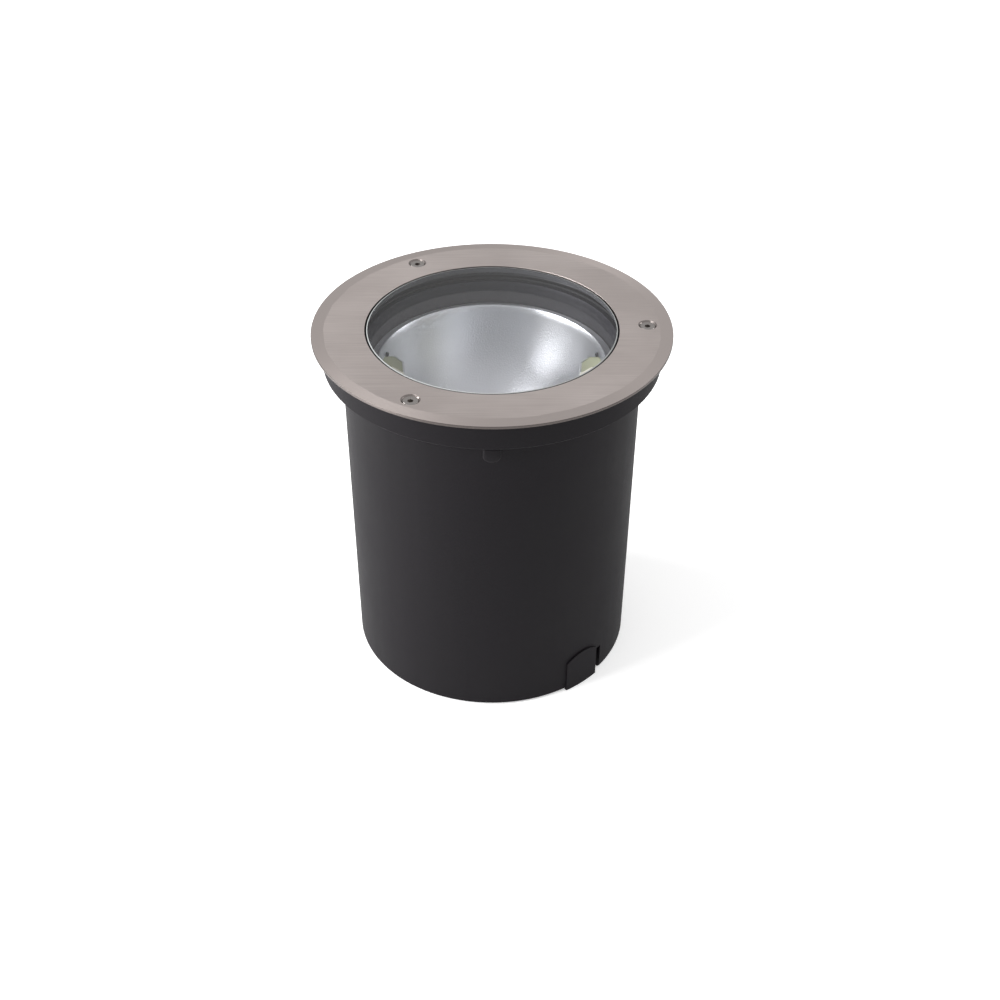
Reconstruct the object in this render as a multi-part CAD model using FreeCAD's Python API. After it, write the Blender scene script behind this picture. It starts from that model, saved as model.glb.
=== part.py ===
import FreeCAD, Part
import math
import os
from FreeCAD import Vector

# In-ground well light: a moulded pot, a cast housing that drops into it, and a
# glazed stainless trim ring screwed down on the housing. Millimetres, +Z up.
# The origin is the centre of the pot's base; the front is towards -Y.

# ---- Driving dimensions -------------------------------------------------

# Whole light
overall_height = 210.0

# Stainless trim ring
ring_overhang = 5.5
ring_opening_margin = 0.5
ring_thickness = 3.0
ring_bevel_width = 7.0
ring_bevel_drop = 0.4
ring_undercut_width = 2.2
ring_undercut_rise = 1.2

# Countersunk socket screws that hold the ring
ring_screw_count = 3
ring_screw_inset = 7.2
ring_screw_first_angle = 1.0
ring_screw_thread = 5.0
ring_screw_head = 9.4
ring_screw_length = 12.0
ring_screw_socket = 3.0
ring_screw_socket_depth = 2.0
ring_screw_sunk = 0.25

# Stepped glass and its U-shaped gasket
glass_edge_gap = 0.9
glass_sunk = 0.2
glass_flange_width = 7.4
glass_flange_thickness = 5.0
glass_edge_chamfer = 0.6
gasket_top_lip = 1.0
gasket_bottom_lip = 1.5
gasket_web = 1.7
gasket_grip = 3.5

# Moulded mounting pot
pot_collar_wall = 3.0
pot_ledge_thickness = 3.0
pot_ledge_width = 10.6
pot_draft = 1.6
pot_wall = 3.0
pot_floor = 3.0
pot_edge_chamfer = 1.5
pot_rib_count = 4
pot_rib_width = 9.4
pot_rib_drop = 8.0
pot_rib_reach = 3.4
pot_rib_top_overlap = 1.0
knockout_angle = -49.2
knockout_width = 23.8
knockout_height = 25.4
knockout_arch = 4.5
knockout_proud = 1.2
slot_width = 4.9
slot_height = 18.5
drain_diameter = 22.0
anchor_circle = 110.0
anchor_hole = 8.0
anchor_count = 3

# Cast housing
chamber_diameter = 140.0
chamber_mouth_chamfer = 1.0
chamber_mouth_drop = 3.5
housing_wall = 4.0
housing_floor = 4.0
housing_flange_depth = 13.0
housing_flange_plate = 6.0
housing_skirt = 3.0
housing_edge_chamfer = 6.0
housing_boss_diameter = 11.0
cooling_rib_count = 12
cooling_rib_width = 2.4
cooling_rib_depth = 4.3
cable_space = 42.0
post_count = 4
post_width = 12.0
post_reach = 14.5
post_upper_reach = 4.0
post_foot_height = 4.0
post_foot_reach = 23.0

# Spun reflector
reflector_lip_depth = 22.3
reflector_bead_width = 2.0
reflector_bead_height = 1.5
reflector_flange_width = 5.7
reflector_sheet = 0.8
reflector_depth = 64.0
window_width = 60.0
window_height = 41.5
window_top_gap = 4.7
window_corner = 15.0
bowl_rings = 6

# Double-ended lamp, between its two end contacts
lamp_end_gap = 6.2
lamp_depth = 56.0
lamp_tube_diameter = 20.0
lamp_tube_wall = 1.2
lamp_tube_length = 58.0
lamp_pinch_diameter = 8.8
lamp_shoulder = 8.0
lamp_base_diameter = 11.0
lamp_base_length = 11.0
lamp_tip_diameter = 4.0
lamp_tip_length = 1.1
arc_tube_diameter = 9.0
arc_tube_length = 18.0
arc_wire_diameter = 1.2

# Ceramic lampholders on curved carrier plates
holder_width = 44.0
holder_corner = 7.0
holder_above_axis = 16.0
holder_below_axis = 13.0
holder_cup_depth = 6.3
holder_cup_width = 16.0
contact_diameter = 6.0
contact_length = 5.6
carrier_gap = 1.2
carrier_sheet = 1.2
carrier_half_angle = 28.0
carrier_top_margin = 2.0

# Heat shield and gear plate
shield_gap = 5.0
shield_sheet = 1.2
gear_sheet = 1.2
plate_screw_flats = 7.0
plate_screw_height = 2.8

# Control gear
ballast_end_gap = 27.0
ballast_side_gap = 43.0
ballast_head_room = 11.0
ballast_coil_end = 10.0
ballast_offset_y = 6.0
ballast_foot = 1.5
ballast_coil_width = 44.0
ballast_coil_inset = 8.0
ballast_coil_chamfer = 4.0
ignitor_size_x = 18.0
ignitor_size_y = 34.0
ignitor_head_room = 17.0
ignitor_chamfer = 2.0
ignitor_inset = 15.0
capacitor_diameter = 30.0
capacitor_end_gap = 41.0
capacitor_inset = 25.0
clip_width = 12.0
clip_sheet = 1.0
clip_foot = 5.0
terminal_size_x = 16.0
terminal_size_y = 40.0
terminal_size_z = 20.0
terminal_inset = 15.0
terminal_ways = 4
terminal_hole = 5.0
earth_screw_inset = 19.0
earth_screw_flats = 8.0
earth_tab = 11.0
earth_tab_thickness = 1.0
lead_diameter = 2.8
lead_inset = 5.3
lead_slot = 7.0

# Cable gland under the housing
gland_thread = 20.0
gland_locknut_flats = 24.0
gland_locknut_height = 3.6
gland_body_flats = 24.0
gland_body_height = 8.0
gland_nut_gap = 0.6
gland_nut_flats = 22.0
gland_nut_lip = 3.0
gland_cable = 9.0
gland_seal_wall = 2.4
gland_seal_length = 13.0
gland_passage = 12.0

# Clearances
ring_over_collar = 0.3
drop_in_clearance = 0.5
sleeve_clearance = 1.0
reflector_clearance = 1.0
recess_clearance = 0.3
thread_clearance = 0.05
ring_hole_clearance = 0.25
contact_clearance = 0.05
blind_hole_run_out = 1.0
notch_clearance = 1.0
cup_clearance = 0.3
over = 1.0  # how far a cutting shape runs past what it cuts

# ---- Heights and radii that follow --------------------------------------

# Radii, from the chamber outwards
chamber_radius = chamber_diameter / 2
ring_inner_radius = chamber_radius + ring_opening_margin
glass_radius = ring_inner_radius - glass_edge_gap
glass_flange_radius = glass_radius + glass_flange_width
gasket_radius = glass_flange_radius + gasket_web
recess_radius = gasket_radius + recess_clearance
ring_screw_radius = recess_radius + ring_screw_inset
housing_radius = chamber_radius + housing_wall
cooling_rib_radius = housing_radius + cooling_rib_depth
pot_base_radius = cooling_rib_radius + sleeve_clearance + pot_wall
pot_top_radius = pot_base_radius + pot_draft
pot_bore_radius = pot_top_radius - pot_wall
collar_inner_radius = pot_bore_radius + pot_ledge_width
collar_radius = collar_inner_radius + pot_collar_wall
flange_radius = collar_inner_radius - drop_in_clearance
ring_radius = collar_radius + ring_overhang

# Heights, from the ring's face down and from the pot's floor up
ring_under = overall_height - ring_thickness
glass_flange_top = ring_under - gasket_top_lip
glass_flange_bottom = glass_flange_top - glass_flange_thickness
glass_seat = glass_flange_bottom - gasket_bottom_lip
ledge_top = ring_under - housing_flange_depth
collar_underside = ledge_top - pot_ledge_thickness
collar_top = ring_under - ring_over_collar
housing_bottom = pot_floor + cable_space
housing_inside = housing_bottom + housing_floor
gear_plate_under = housing_inside + post_foot_height
gear_plate_top = gear_plate_under + gear_sheet

# Reflector, lamp and heat shield
reflector_flange_radius = chamber_radius - reflector_clearance
lip_radius = reflector_flange_radius - reflector_flange_width
lip_top = overall_height - reflector_lip_depth
reflector_rim = lip_top - reflector_bead_height
bowl_bottom = reflector_rim - reflector_depth
window_top = reflector_rim - window_top_gap
lamp_axis = overall_height - lamp_depth
lamp_end = lip_radius - lamp_end_gap
holder_face = lamp_end - holder_cup_depth
carrier_radius = lip_radius + reflector_sheet + carrier_gap
shield_top = bowl_bottom - reflector_sheet - shield_gap
shield_under = shield_top - shield_sheet

# Control gear, placed from the edge of its plate
plate_edge_radius = chamber_radius - sleeve_clearance
gear_room = shield_under - gear_plate_top
ballast_length = 2 * (plate_edge_radius - ballast_end_gap)
ballast_width = 2 * (plate_edge_radius - ballast_side_gap)
ballast_core_length = ballast_length - 2 * ballast_coil_end
ballast_height = gear_room - ballast_head_room
ballast_coil_height = ballast_height - 2 * ballast_coil_inset
ignitor_size_z = gear_room - ignitor_head_room
ignitor_x = ignitor_inset - plate_edge_radius
capacitor_length = 2 * (plate_edge_radius - capacitor_end_gap)
capacitor_y = capacitor_inset - plate_edge_radius
terminal_x = plate_edge_radius - terminal_inset
earth_screw_y = plate_edge_radius - earth_screw_inset
lead_x = carrier_radius - lead_inset

up = Vector(0, 0, 1)


# ---- Small helpers ------------------------------------------------------

def turned(points):
    """Solid of revolution about Z from corners given as (radius, height)."""
    corners = [Vector(r, 0, z) for r, z in points]
    face = Part.Face(Part.makePolygon(corners + corners[:1]))
    return face.revolve(Vector(0, 0, 0), up, 360)


def turned_about_x(points):
    """Solid of revolution about X from corners given as (x, radius)."""
    corners = [Vector(x, r, 0) for x, r in points]
    face = Part.Face(Part.makePolygon(corners + corners[:1]))
    return face.revolve(Vector(0, 0, 0), Vector(1, 0, 0), 360)


def post(radius, low, high, x=0.0, y=0.0):
    """Upright cylinder between two heights."""
    return Part.makeCylinder(radius, high - low, Vector(x, y, low))


def tube(outer, inner, low, high):
    """Upright tube on the Z axis between two heights."""
    return post(outer, low, high).cut(post(inner, low, high))


def block(x0, x1, y0, y1, z0, z1):
    """Box between opposite corners."""
    return Part.makeBox(x1 - x0, y1 - y0, z1 - z0, Vector(x0, y0, z0))


def prism(points, height, direction):
    """Prism from corner vectors, pushed along a direction."""
    face = Part.Face(Part.makePolygon(points + points[:1]))
    return face.extrude(direction * height)


def hexagon(flats, low, high):
    """Upright hexagonal prism on the Z axis, measured across its flats."""
    reach = flats / math.sqrt(3)
    corners = []
    for step in range(6):
        angle = math.radians(60 * step)
        corners.append(Vector(reach * math.cos(angle), reach * math.sin(angle), low))
    return prism(corners, high - low, up)


def turned_to(shape, angle):
    """Copy of a shape, turned about the Z axis."""
    copy = shape.copy()
    copy.rotate(Vector(0, 0, 0), up, angle)
    return copy


def round_pattern(shape, count, first_angle=0.0):
    """Evenly spaced copies of a shape about the Z axis."""
    return [turned_to(shape, first_angle + 360.0 * step / count) for step in range(count)]


def mirrored(shape):
    """Copy of a shape on the other side of the YZ plane."""
    return shape.mirror(Vector(0, 0, 0), Vector(1, 0, 0))


def fused(base, pieces):
    """Base with the pieces joined to it."""
    return base.multiFuse(pieces).removeSplitter()


def hexagon_heads(places, seat):
    """Hexagon screw heads on a plate; their hidden shanks are left out."""
    heads = []
    for x, y in places:
        head = hexagon(plate_screw_flats, seat, seat + plate_screw_height)
        head.translate(Vector(x, y, 0))
        heads.append(head)
    return Part.makeCompound(heads)


def ring_screw_angles():
    """Angles of the ring screws about the Z axis."""
    return [ring_screw_first_angle + 360.0 * step / ring_screw_count
            for step in range(ring_screw_count)]


def post_angles():
    """Angles of the posts inside the housing, on its diagonals."""
    return [360.0 * (step + 0.5) / post_count for step in range(post_count)]


def on_circle(radius, angle):
    """X and Y of a point on a circle about the Z axis."""
    return radius * math.cos(math.radians(angle)), radius * math.sin(math.radians(angle))


# ---- Cover: trim ring, screws, glass, gasket ----------------------------

def make_trim_ring():
    """Flat ring with a faint fall to its rim, an eased underside and countersunk holes."""
    outer = ring_radius
    inner = ring_inner_radius
    ring = turned([
        (inner, ring_under),
        (outer - ring_undercut_width, ring_under),
        (outer, ring_under + ring_undercut_rise),
        (outer, overall_height - ring_bevel_drop),
        (outer - ring_bevel_width, overall_height),
        (inner, overall_height),
    ])
    neck = ring_screw_thread / 2 + ring_hole_clearance
    mouth = ring_screw_head / 2 + ring_hole_clearance + ring_screw_sunk
    sink = mouth - neck
    centre = ring_screw_radius
    hole = post(neck, ring_under - over, overall_height, centre, 0)
    cone = Part.makeCone(neck, mouth, sink, Vector(centre, 0, overall_height - sink))
    cuts = round_pattern(hole.fuse(cone), ring_screw_count, ring_screw_first_angle)
    return ring.cut(Part.makeCompound(cuts))


def make_ring_screws():
    """Countersunk screws with a hexagon socket, one for each hole."""
    top = overall_height - ring_screw_sunk
    depth = (ring_screw_head - ring_screw_thread) / 2
    centre = Vector(ring_screw_radius, 0, 0)
    head = Part.makeCone(ring_screw_thread / 2, ring_screw_head / 2, depth, centre + up * (top - depth))
    shank = post(ring_screw_thread / 2, top - ring_screw_length, top - depth, centre.x, 0)
    socket = hexagon(ring_screw_socket, top - ring_screw_socket_depth, top + over)
    socket.translate(centre)
    screw = head.fuse(shank).cut(socket)
    return Part.makeCompound(round_pattern(screw, ring_screw_count, ring_screw_first_angle))


def make_glass_lens():
    """Toughened glass disc, stepped so that its face fills the ring."""
    top = overall_height - glass_sunk
    return turned([
        (0, glass_flange_bottom),
        (glass_flange_radius, glass_flange_bottom),
        (glass_flange_radius, glass_flange_top),
        (glass_radius, glass_flange_top),
        (glass_radius, top - glass_edge_chamfer),
        (glass_radius - glass_edge_chamfer, top),
        (0, top),
    ])


def make_glass_gasket():
    """U-shaped gasket round the flange of the glass."""
    grip = glass_flange_radius - gasket_grip
    return turned([
        (grip, glass_seat),
        (gasket_radius, glass_seat),
        (gasket_radius, ring_under),
        (grip, ring_under),
        (grip, glass_flange_top),
        (glass_flange_radius, glass_flange_top),
        (glass_flange_radius, glass_flange_bottom),
        (grip, glass_flange_bottom),
    ])


# ---- Pot ----------------------------------------------------------------

def pot_radius(height):
    """Outer radius of the tapered pot wall at a height."""
    share = height / collar_underside
    return pot_base_radius + pot_draft * share


def make_pot_shell():
    """Tapered pot with a stepped collar that carries the housing flange."""
    collar = collar_radius
    return turned([
        (0, 0),
        (pot_base_radius - pot_edge_chamfer, 0),
        (pot_radius(pot_edge_chamfer), pot_edge_chamfer),
        (pot_top_radius, collar_underside),
        (collar - pot_edge_chamfer, collar_underside),
        (collar, collar_underside + pot_edge_chamfer),
        (collar, collar_top),
        (collar_inner_radius, collar_top),
        (collar_inner_radius, ledge_top),
        (pot_bore_radius, ledge_top),
        (pot_base_radius - pot_wall, pot_floor),
        (0, pot_floor),
    ])


def make_pot_rib():
    """Round-ended gusset under the collar, on the +X side."""
    reach = pot_radius(collar_underside - pot_rib_drop) + pot_rib_reach
    top = collar_underside + pot_rib_top_overlap
    half = pot_rib_width / 2
    low = collar_underside - pot_rib_drop + half
    slab = block(pot_bore_radius + pot_wall / 2, reach, -half, half, low, top)
    end = Part.makeCylinder(half, reach - pot_bore_radius - pot_wall / 2,
                            Vector(pot_bore_radius + pot_wall / 2, 0, low), Vector(1, 0, 0))
    return slab.fuse(end)


def make_knockout(face_radius, start):
    """Curved pad with an arched top, on the +X side."""
    half = knockout_width / 2
    shoulder = knockout_height - knockout_arch
    crown = Vector(start, 0, knockout_height)
    arch = Part.Arc(Vector(start, half, shoulder), crown, Vector(start, -half, shoulder))
    outline = Part.Wire([
        Part.makeLine(Vector(start, -half, 0), Vector(start, half, 0)),
        Part.makeLine(Vector(start, half, 0), Vector(start, half, shoulder)),
        arch.toShape(),
        Part.makeLine(Vector(start, -half, shoulder), Vector(start, -half, 0)),
    ])
    bar = Part.Face(outline).extrude(Vector(face_radius - start + over, 0, 0))
    return bar.common(post(face_radius, 0, knockout_height))


def make_mounting_pot():
    """Pot with gussets, a raised knock-out, a slot and holes in its floor."""
    ribs = round_pattern(make_pot_rib(), pot_rib_count)
    pad_face = pot_base_radius + knockout_proud
    wall_inside = pot_base_radius - pot_wall
    pad = make_knockout(pad_face, wall_inside + pot_wall / 2)
    slot_side = knockout_width / 2
    slot = block(wall_inside - 2 * pot_wall, pad_face + over,
                 slot_side, slot_side + slot_width, -over, slot_height)
    anchor = post(anchor_hole / 2, -over, pot_floor + over, anchor_circle / 2, 0)
    anchors = round_pattern(anchor, anchor_count, 90.0)
    drain = post(drain_diameter / 2, -over, pot_floor + over)
    body = fused(make_pot_shell(), ribs + [turned_to(pad, knockout_angle)])
    cuts = [turned_to(slot, knockout_angle), drain]
    return body.cut(Part.makeCompound(cuts + anchors))


# ---- Housing ------------------------------------------------------------

def make_housing_shell():
    """Cast cup: floor, wall, glass seat and hollow-backed flange."""
    mouth = glass_seat - chamber_mouth_drop
    neck = recess_radius + housing_wall
    skirt = flange_radius - housing_skirt
    plate_under = ring_under - housing_flange_plate
    return turned([
        (0, housing_bottom),
        (housing_radius - housing_edge_chamfer, housing_bottom),
        (housing_radius, housing_bottom + housing_edge_chamfer),
        (housing_radius, ledge_top - housing_wall),
        (pot_bore_radius - sleeve_clearance, ledge_top),
        (neck, plate_under),
        (skirt, plate_under),
        (skirt, ledge_top),
        (flange_radius, ledge_top),
        (flange_radius, ring_under),
        (recess_radius, ring_under),
        (recess_radius, glass_seat),
        (chamber_radius + chamber_mouth_chamfer, glass_seat),
        (chamber_radius, mouth),
        (chamber_radius, housing_inside),
        (0, housing_inside),
    ])


def make_screw_boss():
    """Boss under the flange for one ring screw, on the +X side."""
    boss = post(housing_boss_diameter / 2, ledge_top, ring_under, ring_screw_radius, 0)
    return boss.common(post(flange_radius, ledge_top, ring_under))


def make_cooling_rib():
    """Upright rib outside the wall, on the +X side."""
    low = housing_bottom + housing_edge_chamfer
    high = ledge_top - 2 * housing_wall
    start = housing_radius - housing_wall / 2
    half = cooling_rib_width / 2
    return block(start, cooling_rib_radius, -half, half, low, high)


def make_inner_post():
    """Stepped post inside the wall, with steps for gear plate, shield and reflector."""
    half = post_width / 2
    back = chamber_radius + housing_wall / 2
    foot_face = chamber_radius - post_foot_reach
    low_face = chamber_radius - post_reach
    high_face = chamber_radius - post_upper_reach
    foot = block(foot_face, back, -half, half, housing_inside - over, gear_plate_under)
    lower = block(low_face, back, -half, half, gear_plate_under, shield_under)
    upper = block(high_face, back, -half, half, shield_under, reflector_rim - reflector_sheet)
    return foot.multiFuse([lower, upper])


def make_housing():
    """Cup with its screw bosses, cooling ribs, inner posts and holes."""
    bosses = [turned_to(make_screw_boss(), angle) for angle in ring_screw_angles()]
    ribs = round_pattern(make_cooling_rib(), cooling_rib_count, 180.0 / cooling_rib_count)
    posts = [turned_to(make_inner_post(), angle) for angle in post_angles()]
    body = fused(make_housing_shell(), bosses + ribs + posts)
    screw_foot = overall_height - ring_screw_sunk - ring_screw_length - blind_hole_run_out
    screw_hole = post(ring_screw_thread / 2 + thread_clearance, screw_foot, ring_under + over,
                      ring_screw_radius, 0)
    cuts = [turned_to(screw_hole, angle) for angle in ring_screw_angles()]
    cuts.append(post(gland_thread / 2, housing_bottom - over, housing_inside + over))
    return body.cut(Part.makeCompound(cuts))


# ---- Reflector ----------------------------------------------------------

def bowl_profile(radius, rim, depth):
    """Corners of a quarter ellipse from its rim down to its flat middle."""
    corners = []
    for ring in range(bowl_rings + 1):
        angle = math.radians(90.0 * ring / bowl_rings)
        corners.append((radius * math.cos(angle), rim - depth * math.sin(angle)))
    corners[-1] = (0.0, corners[-2][1])
    return corners


def make_bowl():
    """Spun bowl in shallow rings, with a raised lip and a flat flange."""
    under = reflector_rim - reflector_sheet
    bead_end = lip_radius + reflector_bead_width
    flange = reflector_flange_radius
    inside = bowl_profile(lip_radius, reflector_rim, reflector_depth)
    outside = bowl_profile(lip_radius + reflector_sheet, under, reflector_depth)
    return turned(inside[::-1] + [
        (lip_radius + reflector_bead_width / 2, lip_top),
        (bead_end, reflector_rim),
        (flange, reflector_rim),
        (flange, under),
    ] + outside)


def make_windows():
    """Eight-sided openings for the lampholders, cut straight through along X."""
    half = window_width / 2
    low = window_top - window_height
    reach = lip_radius + reflector_bead_width
    outline = [
        Vector(-reach, -half, low + window_corner),
        Vector(-reach, -half + window_corner, low),
        Vector(-reach, half - window_corner, low),
        Vector(-reach, half, low + window_corner),
        Vector(-reach, half, window_top - window_corner),
        Vector(-reach, half - window_corner, window_top),
        Vector(-reach, -half + window_corner, window_top),
        Vector(-reach, -half, window_top - window_corner),
    ]
    return prism(outline, 2 * reach, Vector(1, 0, 0))


def make_reflector():
    """Bowl with its two windows."""
    return make_bowl().cut(make_windows())


# ---- Lampholders, contacts and lamp -------------------------------------

def make_carrier():
    """Curved plate behind the right window, standing on the heat shield."""
    high = window_top + carrier_top_margin
    outer = carrier_radius + carrier_sheet
    reach = 2 * outer
    spread = reach * math.tan(math.radians(carrier_half_angle))
    wedge = prism([Vector(0, 0, shield_top), Vector(reach, -spread, shield_top),
                   Vector(reach, spread, shield_top)], high - shield_top, up)
    return tube(outer, carrier_radius, shield_top, high).common(wedge)


def make_lampholder():
    """Right-hand ceramic lampholder, open at the top for the lamp end."""
    half = holder_width / 2
    low = lamp_axis - holder_below_axis
    high = lamp_axis + holder_above_axis
    back = carrier_radius + over
    outline = [
        Vector(holder_face, -half + holder_corner, low),
        Vector(holder_face, half - holder_corner, low),
        Vector(holder_face + holder_corner, half, low),
        Vector(back, half, low),
        Vector(back, -half, low),
        Vector(holder_face + holder_corner, -half, low),
    ]
    body = prism(outline, high - low, up).common(post(carrier_radius, low, high))
    cup = holder_cup_width / 2
    start = holder_face - 1
    cup_back = lamp_end + cup_clearance
    mouth = block(start, cup_back, -cup, cup, lamp_axis, high + over)
    seat = bar_on_axis(cup, start, cup_back)
    bore = bar_on_axis(contact_diameter / 2 + contact_clearance, start, back)
    return body.cut(mouth.multiFuse([seat, bore]))


def bar_on_axis(radius, start, end):
    """Cylinder on the lamp's axis between two X values."""
    return Part.makeCylinder(radius, end - start, Vector(start, 0, lamp_axis), Vector(1, 0, 0))


def make_contact():
    """Right-hand sprung contact plunger, resting on the lamp's end."""
    return bar_on_axis(contact_diameter / 2, lamp_end, lamp_end + contact_length)


def moved_to_axis(shape):
    """Shape made about the X axis, lifted to the lamp's axis."""
    shape.translate(up * lamp_axis)
    return shape


def make_lamp_envelope():
    """Hollow quartz tube, drawn in to a pinch at each end."""
    tube_half = lamp_tube_length / 2
    shoulder = tube_half + lamp_shoulder
    end = lamp_end - lamp_tip_length - lamp_base_length
    radius = lamp_tube_diameter / 2
    pinch = lamp_pinch_diameter / 2
    body = turned_about_x([
        (-end, 0), (-end, pinch), (-shoulder, pinch), (-shoulder, radius),
        (shoulder, radius), (shoulder, pinch), (end, pinch), (end, 0),
    ])
    bore = radius - lamp_tube_wall
    hollow = turned_about_x([(-tube_half, 0), (-tube_half, bore), (tube_half, bore), (tube_half, 0)])
    return moved_to_axis(body.cut(hollow))


def make_arc_tube():
    """Burner with a lead-in wire to each end of the envelope."""
    wire = arc_wire_diameter / 2
    tube_half = lamp_tube_length / 2
    half = arc_tube_length / 2
    radius = arc_tube_diameter / 2
    return moved_to_axis(turned_about_x([
        (-tube_half, 0), (-tube_half, wire), (-half, wire), (-half * 0.75, radius),
        (half * 0.75, radius), (half, wire), (tube_half, wire), (tube_half, 0),
    ]))


def make_lamp_bases():
    """Ceramic bases on both ends of the lamp."""
    end = lamp_end - lamp_tip_length
    base = bar_on_axis(lamp_base_diameter / 2, end - lamp_base_length, end)
    return Part.makeCompound([base, mirrored(base)])


def make_lamp_tips():
    """Metal end contacts of the lamp."""
    tip = bar_on_axis(lamp_tip_diameter / 2, lamp_end - lamp_tip_length, lamp_end)
    return Part.makeCompound([tip, mirrored(tip)])


# ---- Heat shield and gear plate -----------------------------------------

def post_step_places(face_reach, next_reach):
    """Screw places midway on a step of the posts."""
    radius = chamber_radius - (face_reach + next_reach) / 2
    return [on_circle(radius, angle) for angle in post_angles()]


def notches(face, low, high):
    """Cuts that let a round plate pass the posts."""
    half = post_width / 2 + notch_clearance
    outline = block(face - notch_clearance, chamber_diameter, -half, half, low - over, high + over)
    return [turned_to(outline, angle) for angle in post_angles()]


def make_heat_shield():
    """Disc between the lamp and the gear, with slots for the leads at its edge."""
    disc = post(plate_edge_radius, shield_under, shield_top)
    cuts = notches(chamber_radius - post_upper_reach, shield_under, shield_top)
    half = lead_slot / 2
    slot = block(lead_x - half, lead_x + half, -half, half, shield_under - over, shield_top + over)
    return disc.cut(Part.makeCompound(cuts + [slot, mirrored(slot)]))


def make_shield_screws():
    """Screws that hold the heat shield on the posts."""
    places = post_step_places(post_reach, post_upper_reach)
    return hexagon_heads(places, shield_top)


def make_gear_plate():
    """Plate that carries the control gear, notched round the posts."""
    disc = post(plate_edge_radius, gear_plate_under, gear_plate_top)
    cuts = notches(chamber_radius - post_reach, gear_plate_under, gear_plate_top)
    opening = gland_locknut_flats / math.sqrt(3) + notch_clearance
    cuts.append(post(opening, gear_plate_under - over, gear_plate_top + over))
    return disc.cut(Part.makeCompound(cuts))


def make_gear_screws():
    """Screws that hold the gear plate on the feet of the posts."""
    places = post_step_places(post_foot_reach, post_reach)
    return hexagon_heads(places, gear_plate_top)


# ---- Control gear -------------------------------------------------------

def make_ballast_core():
    """Stack of laminations on a foot plate, with room for the coil."""
    half_y = ballast_width / 2
    low = gear_plate_top
    foot = block(-ballast_length / 2, ballast_length / 2, -half_y, half_y, low, low + ballast_foot)
    half_x = ballast_core_length / 2
    stack = block(-half_x, half_x, -half_y, half_y, low + ballast_foot, low + ballast_height)
    long_edges = [edge for edge in stack.Edges
                  if edge.BoundBox.XLength > ballast_core_length / 2
                  and edge.CenterOfMass.z > low + ballast_height / 2]
    stack = stack.makeChamfer(ballast_foot * 1.5, long_edges)
    core = stack.fuse(foot)
    core.translate(Vector(0, ballast_offset_y, 0))
    return core


def make_ballast_coil():
    """Rounded ends of the winding, one at each end of the stack."""
    half_y = ballast_coil_width / 2
    middle = gear_plate_top + ballast_height / 2
    low = middle - ballast_coil_height / 2
    high = middle + ballast_coil_height / 2
    start = ballast_core_length / 2
    end = ballast_length / 2 - ballast_foot
    lobe = block(start, end, -half_y, half_y, low, high)
    outer = [edge for edge in lobe.Edges if edge.CenterOfMass.x > end - 0.01]
    lobe = lobe.makeChamfer(ballast_coil_chamfer, outer)
    lobe.translate(Vector(0, ballast_offset_y, 0))
    return Part.makeCompound([lobe, mirrored(lobe)])


def make_ignitor():
    """Potted ignitor can, standing on the gear plate."""
    can = block(ignitor_x - ignitor_size_x / 2, ignitor_x + ignitor_size_x / 2,
                -ignitor_size_y / 2, ignitor_size_y / 2,
                gear_plate_top, gear_plate_top + ignitor_size_z)
    upright = [edge for edge in can.Edges if edge.BoundBox.ZLength > ignitor_size_z / 2]
    return can.makeChamfer(ignitor_chamfer, upright)


def capacitor_bar(radius, half_length):
    """Lying cylinder on the capacitor's axis."""
    start = Vector(-half_length, capacitor_y, gear_plate_top + capacitor_diameter / 2)
    return Part.makeCylinder(radius, 2 * half_length, start, Vector(1, 0, 0))


def make_capacitor():
    """Round capacitor can, lying along the front of the gear plate."""
    return capacitor_bar(capacitor_diameter / 2, capacitor_length / 2)


def make_capacitor_clip():
    """Strap over the capacitor with a foot on each side."""
    half = clip_width / 2
    radius = capacitor_diameter / 2
    outer = radius + clip_sheet
    middle = gear_plate_top + radius
    arch = capacitor_bar(outer, half)
    legs = block(-half, half, capacitor_y - outer, capacitor_y + outer, gear_plate_top, middle)
    inner_legs = block(-half - over, half + over, capacitor_y - radius, capacitor_y + radius,
                       gear_plate_top - over, middle)
    foot = block(-half, half, capacitor_y - outer, capacitor_y + outer + clip_foot,
                 gear_plate_top, gear_plate_top + clip_sheet)
    strap = arch.fuse(legs).fuse(foot)
    return strap.cut(capacitor_bar(radius, half + over).fuse(inner_legs)).removeSplitter()


def make_terminal_block():
    """Terminal block with a wire entry for each way."""
    body = block(terminal_x - terminal_size_x / 2, terminal_x + terminal_size_x / 2,
                 -terminal_size_y / 2, terminal_size_y / 2,
                 gear_plate_top, gear_plate_top + terminal_size_z)
    pitch = terminal_size_y / terminal_ways
    cuts = []
    face = terminal_x - terminal_size_x / 2
    low = gear_plate_top + terminal_hole
    for way in range(terminal_ways):
        y = pitch * (way + 0.5) - terminal_size_y / 2
        cuts.append(block(face, face + terminal_size_x / 2, y - terminal_hole / 2, y + terminal_hole / 2,
                          low, low + terminal_hole))
    return body.cut(Part.makeCompound(cuts))


def make_earth_screw():
    """Earth screw on its square tab on the gear plate."""
    half = earth_tab / 2
    tab_top = gear_plate_top + earth_tab_thickness
    tab = block(-half, half, earth_screw_y - half, earth_screw_y + half, gear_plate_top, tab_top)
    head = hexagon(earth_screw_flats, tab_top, tab_top + plate_screw_height)
    head.translate(Vector(0, earth_screw_y, 0))
    return tab.fuse(head)


# ---- Lamp leads ---------------------------------------------------------

def make_lead(side, foot):
    """Stiff sleeved lead from the gear straight up to a lampholder's underside."""
    return post(lead_diameter / 2, foot, lamp_axis - holder_below_axis, side * lead_x, 0)


# ---- Cable gland --------------------------------------------------------

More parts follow.
